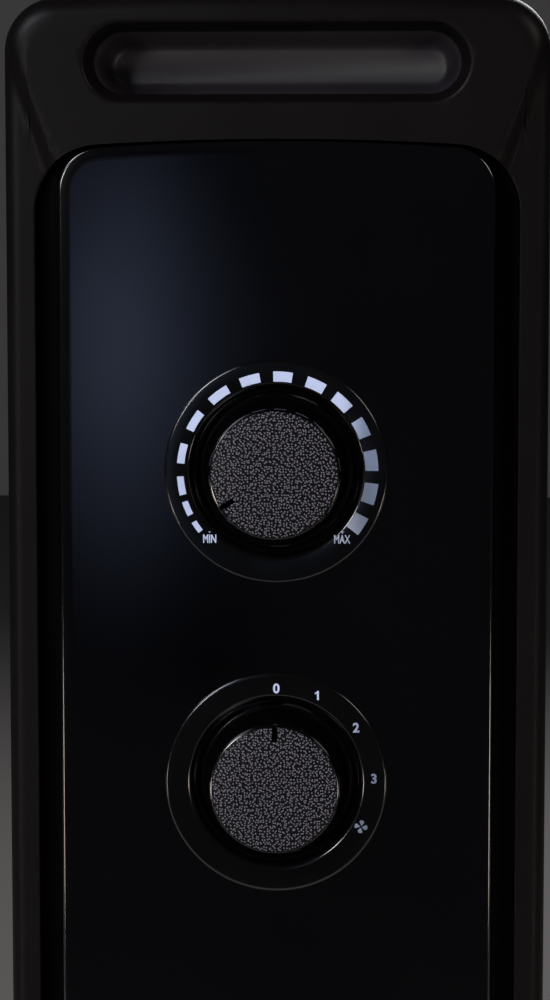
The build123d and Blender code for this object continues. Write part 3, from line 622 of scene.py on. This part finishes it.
bars.append(printedText("MAX", 19.53, panel["top"] - scaleWords["drop"], scaleWords["height"], 0.64,
                        scaleWords["weight"]))
for sign, x, drop in zip("-+", (-19.55, 19.53), scaleWords["signDrops"]):
    bars.append(printedText(sign, x, panel["top"] - drop, scaleWords["signHeight"]))
scalePiece = joined("thermostatScale", bars)
settle(scalePiece, "root", printedInk)

selectorMarks = []
for text, angle, radius in (("0", 0.2, 28.2), ("2", 55.0, 29.0), ("3", 87.4, 29.1)):
    swing = math.radians(angle)
    selectorMarks.append(printedText(text, radius * math.sin(swing),
                                     dials["selector"] + radius * math.cos(swing), 2.7, weight=0.12))
# The 1 is drawn by its own outline, with a flag at its top left
one = {"angle": 25.1, "radius": 28.9}
swing = math.radians(one["angle"])
oneX, oneZ = one["radius"] * math.sin(swing), dials["selector"] + one["radius"] * math.cos(swing)
onePoints = ((0.45, -1.35), (0.45, 1.35), (0.02, 1.35), (-0.3, 1.0), (-0.75, 0.82), (-0.75, 0.38), (-0.1, 0.62),
             (-0.1, -1.35))
selectorMarks.append(inkPatch("one", [(oneX + x, oneZ + z) for x, z in onePoints]))
fan = {"angle": 117.5, "radius": 28.5, "bladeLean": 20}
swing = math.radians(fan["angle"])
fanX, fanZ = fan["radius"] * math.sin(swing), dials["selector"] + fan["radius"] * math.cos(swing)
for quarter in range(4):
    corners = []
    for reach, off in ((0.25, -14), (1.1, -34), (1.7, -36), (1.95, -20), (1.95, 4), (1.5, 22), (0.7, 16)):
        bladeTurn = math.radians(quarter * 90 + fan["bladeLean"] + off)
        corners.append((fanX + reach * math.sin(bladeTurn), fanZ + reach * math.cos(bladeTurn)))
    selectorMarks.append(inkPatch("blade", corners))
marksPiece = joined("selectorMarks", selectorMarks)
settle(marksPiece, "root", printedInk)
print("stage: marks printed")

settle(dressedCopy("rear_housing", "rearHousing", 1.0, 3), "root", texturedAbs, ["rear_housing"])
settle(dressedCopy("outlet_grille", "outletGrille", 0.35, 2), "root", nylon, ["outlet_grille"])
settle(dressedCopy("cord_gland", "cordGland", 0.4, 2), "root", nylon, ["cord_gland"])

for number in range(1, 10):
    node = f"fin_{number:02d}"
    settle(dressedCopy(node, f"fin{number:02d}", 0.45, 2, 50), "root", finEnamel, [node])
for end in ("front", "rear"):
    plate = dressedCopy(f"{end}_wheel_plate", f"{end}WheelPlate", 0.7, 3)
    settle(plate, "root", powderCoat, [f"{end}_wheel_plate"])
    strap = dressedCopy(f"{end}_clamp_strap", f"{end}ClampStrap", 0.5, 2)
    settle(strap, "root", zincPlate, [f"{end}_clamp_strap"])

wheelProfile = [(-8.0, 3.2), (-8.0, 6.2), (-7.7, 6.6), (-6.4, 6.9), (-6.1, 7.3), (-6.1, 14.4), (-6.4, 14.9),
                (-7.7, 15.3), (-8.0, 15.8), (-8.0, 18.4), (-7.7, 19.3), (-7.0, 19.85), (-6.0, 19.99), (-1.2, 19.99),
                (-0.9, 19.55), (0.9, 19.55), (1.2, 19.99), (6.0, 19.99), (7.0, 19.85), (7.7, 19.3), (8.0, 18.4),
                (8.0, 15.8), (7.7, 15.3), (6.4, 14.9), (6.1, 14.4), (6.1, 7.3), (6.4, 6.9), (7.7, 6.6), (8.0, 6.2),
                (8.0, 3.2)]
wheelCount = 72
for corner in ("fl", "fr", "rl", "rr"):
    fork = dressedCopy(f"castor_fork_{corner}", f"castorFork{corner.title()}", 0.6, 3)
    settle(fork, f"castor_{corner}", nylon, [f"castor_fork_{corner}"])
    low, high = (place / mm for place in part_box(f"castor_wheel_{corner}"))
    middle = (low + high) / 2
    rings = [[(middle.x + offset, middle.y + radius * math.cos(math.tau * k / wheelCount),
               middle.z + radius * math.sin(math.tau * k / wheelCount)) for k in range(wheelCount)]
             for offset, radius in wheelProfile]
    wheel = loftRings(f"castorWheel{corner.title()}", rings, closed=True)
    smooth(wheel, 35)
    settle(wheel, f"roller_{corner}", wheelNylon, [f"castor_wheel_{corner}"])
print("stage: fins and castors made")

# The room, in metres
room = {"width": 9.0, "floorLength": 6.2, "floorMiddle": 1.9, "floorDrop": 0.0005, "wallPlace": 5.0,
        "wallHeight": 3.2}
deselectAll()
bpy.ops.mesh.primitive_plane_add(size=1, location=(0, room["floorMiddle"], -room["floorDrop"]))
floor = bpy.context.object
floor.name = "floor"
stretchTo((room["width"], room["floorLength"], 1.0), (0, room["floorMiddle"], 0))
studioFloor = finish("paleStudioFloor", "C9C7C3", "D3D1CD", 0.85, 0.04, 3.0, 0.02, mottle=400.0, specular=0.1)
# Painted shade: the far floor is painted darker, falling off into the shade of the room; the places count from the
# middle of the floor
fadeAlong(studioFloor, "Y", "605E5C", -1550.0, -950.0)
floor.data.materials.append(studioFloor)
wallMiddle = (0, room["wallPlace"], room["wallHeight"] / 2)
bpy.ops.mesh.primitive_plane_add(size=1, location=wallMiddle, rotation=(math.radians(90), 0, 0))
backdrop = bpy.context.object
backdrop.name = "backdrop"
stretchTo((room["width"], 1.0, room["wallHeight"]), wallMiddle)
wallPaint = finish("greyBackdrop", "908E8C", "989694", 0.9, 0.04, 3.0, 0.02, mottle=400.0, specular=0.1)
backdrop.data.materials.append(wallPaint)


def softLamp(name, place, aim, width, height, power, colour):
    data = bpy.data.lights.new(name, "AREA")
    data.shape = "RECTANGLE"
    data.size, data.size_y = width, height
    data.energy = power
    data.color = hexColour(colour)[:3]
    lamp = bpy.data.objects.new(name, data)
    bpy.context.scene.collection.objects.link(lamp)
    lamp.location = place
    lamp.rotation_euler = (Vector(aim) - Vector(place)).to_track_quat("-Z", "Y").to_euler()


softLamp("keyLamp", (-1.2, -1.5, 1.7), (0, -0.1, 0.42), 0.9, 0.7, 38, "F1F4FF")
softLamp("fillLamp", (1.5, -1.3, 1.5), (0, -0.1, 0.42), 0.7, 0.7, 13, "FFF8F0")
softLamp("frontLamp", (-0.9, -2.3, 0.85), (0, -0.1, 0.5), 0.3, 0.3, 9.5, "FFFFFF")
softLamp("leftLow", (-0.85, -1.65, 0.08), (0, -0.2, 0.45), 0.16, 0.2, 3.0, "FFF0E0")
softLamp("rightLow", (0.85, -1.65, 0.08), (0, -0.2, 0.45), 0.16, 0.2, 3.0, "FFF0E0")
softLamp("backLamp", (0.6, 1.7, 1.5), (0, 0.1, 0.35), 1.0, 1.0, 26, "FFFFFF")

# A soft box behind the camera, which the glossy panel mirrors as a pale patch on its left
softBoxGlow = 1.7
deselectAll()
bpy.ops.mesh.primitive_plane_add(size=1, location=(-0.33, -3.1, 0.42), rotation=(math.radians(90), 0, 0))
softBox = bpy.context.object
softBox.name = "softBox"
softBox.scale = (0.36, 0.95, 1.0)
glow = bpy.data.materials.new("softBoxCloth")
glow.use_nodes = True
glowTree = glow.node_tree
glowTree.nodes.clear()
glowPlace = addNode(glowTree, "ShaderNodeTexCoord").outputs["Object"]
glowMap = addNode(glowTree, "ShaderNodeMapping", values={"Scale": (2.0, 2.0, 2.0)}, links={"Vector": glowPlace})
fade = addNode(glowTree, "ShaderNodeTexGradient", {"gradient_type": "QUADRATIC_SPHERE"},
               links={"Vector": glowMap.outputs["Vector"]})
glowLevel = addNode(glowTree, "ShaderNodeMath", {"operation": "MULTIPLY"}, {1: softBoxGlow}, {0: fade.outputs["Fac"]})
cloth = addNode(glowTree, "ShaderNodeEmission", values={"Color": hexColour("B8CCFF")},
                links={"Strength": glowLevel.outputs["Value"]})
addNode(glowTree, "ShaderNodeOutputMaterial", links={"Surface": cloth.outputs["Emission"]})
softBox.data.materials.append(glow)
softBox.visible_camera = False
world = bpy.data.worlds.new("studio")
bpy.context.scene.world = world
world.use_nodes = True
world.node_tree.nodes["Background"].inputs["Color"].default_value = hexColour("303034")
world.node_tree.nodes["Background"].inputs["Strength"].default_value = 1.0

view = {"aimAcross": -0.3, "aimDrop": 105.1, "offset": (34.7, -825.5, 79.3), "lens": 101.52, "sensor": 36.0}
aim = Vector((view["aimAcross"], face, panel["top"] - view["aimDrop"])) * mm
eye = aim + Vector(view["offset"]) * mm
lens = bpy.data.cameras.new("photoCamera")
lens.lens = view["lens"]
lens.sensor_width = view["sensor"]
lens.sensor_fit = "AUTO"
camera = bpy.data.objects.new("photoCamera", lens)
bpy.context.scene.collection.objects.link(camera)
camera.location = eye
camera.rotation_euler = (aim - eye).to_track_quat("-Z", "Y").to_euler()
bpy.context.scene.camera = camera
bpy.context.scene.view_settings.view_transform = "Standard"

print("stage: scene ready")
